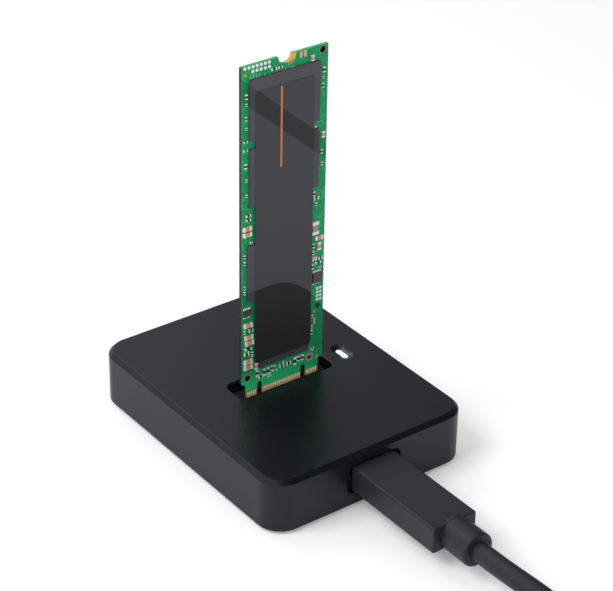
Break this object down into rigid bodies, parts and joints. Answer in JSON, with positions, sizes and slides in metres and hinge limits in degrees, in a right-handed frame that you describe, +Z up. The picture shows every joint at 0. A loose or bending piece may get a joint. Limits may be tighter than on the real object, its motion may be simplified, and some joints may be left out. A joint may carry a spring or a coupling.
{
  "type": "ssd docking station",
  "caption": "Small rounded black case with an upright M.2 card socket, the SSD card standing in it, an oval light beside the slot and a plugged-in USB cable with its coil.",
  "frame": {"origin": "on the table, under the middle of the case", "axes": "+Z up along the standing card, +Y towards the cable, +X to the right of a user who faces the side away from the cable"},
  "size_m": [0.0924, 0.1745, 0.091],
  "materials": {
    "case_black": "satin moulded black",
    "case_dark": "fine matt black",
    "foot_rubber": "matt rubber",
    "screw_steel": "zinc plated",
    "board_green": "solder mask",
    "socket_plastic": "moulded, matt",
    "contact_gold": "gold plated",
    "plug_steel": "nickel plated",
    "chip_black": "moulded chip",
    "part_tan": "ceramic with tinned ends",
    "part_grey": "tinned and ceramic",
    "light_white": "diffusing white",
    "label_dark": "printed film",
    "cable_black": "soft moulded",
    "insert_plastic": "moulded"
  },
  "bodies": {
    "dock": {"top_shell": "case_black", "port_bezel": "case_dark", "base_plate": "case_dark", "foot_front_left": "foot_rubber", "foot_front_right": "foot_rubber", "foot_back_left": "foot_rubber", "foot_back_right": "foot_rubber", "case_screws": "screw_steel", "main_board": "board_green", "board_screws": "screw_steel", "socket_housing": "socket_plastic", "socket_contacts_front": "contact_gold", "socket_contacts_back": "contact_gold", "socket_tabs": "plug_steel", "receptacle_shell": "plug_steel", "receptacle_tongue": "insert_plastic", "receptacle_contacts": "contact_gold", "bridge_chip": "chip_black", "flash_chip": "chip_black", "crystal": "plug_steel", "voltage_regulator": "chip_black", "power_inductor": "chip_black", "surge_chip": "chip_black", "bulk_capacitors": "part_tan", "light_diode": "light_white", "board_capacitors": "part_tan", "board_resistors": "part_grey", "light_window": "light_white"},
    "card": {"card_board": "board_green", "card_contacts_front": "contact_gold", "card_contacts_back": "contact_gold", "notch_ring": "contact_gold", "memory_chip_upper": "chip_black", "memory_chip_lower": "chip_black", "cache_chip": "chip_black", "controller_chip": "chip_black", "card_capacitors": "part_tan", "card_small_parts": "part_grey", "card_power_chip": "chip_black", "card_logic_chip": "chip_black", "card_oscillator": "part_grey", "card_fuse": "part_grey", "card_label": "label_dark", "card_back_label": "label_dark"},
    "cable": {"plug_shell": "plug_steel", "plug_insert": "insert_plastic", "plug_body": "case_black", "plug_relief": "cable_black", "usb_cable": "cable_black", "cable_coil": "cable_black", "cable_tie": "foot_rubber", "cable_tail": "cable_black", "far_relief": "cable_black", "far_body": "case_black", "far_shell": "plug_steel", "far_insert": "insert_plastic", "far_contacts": "contact_gold"}
  },
  "joints": [
    {"name": "card_slide", "type": "slide", "parent": "dock", "child": "card", "axis": [0, 0, 1], "range_m": [-0.0031, 0.022]},
    {"name": "plug_slide", "type": "slide", "parent": "dock", "child": "cable", "axis": [0, 1, 0], "range_m": [-0.0009, 0.012]}
  ]
}
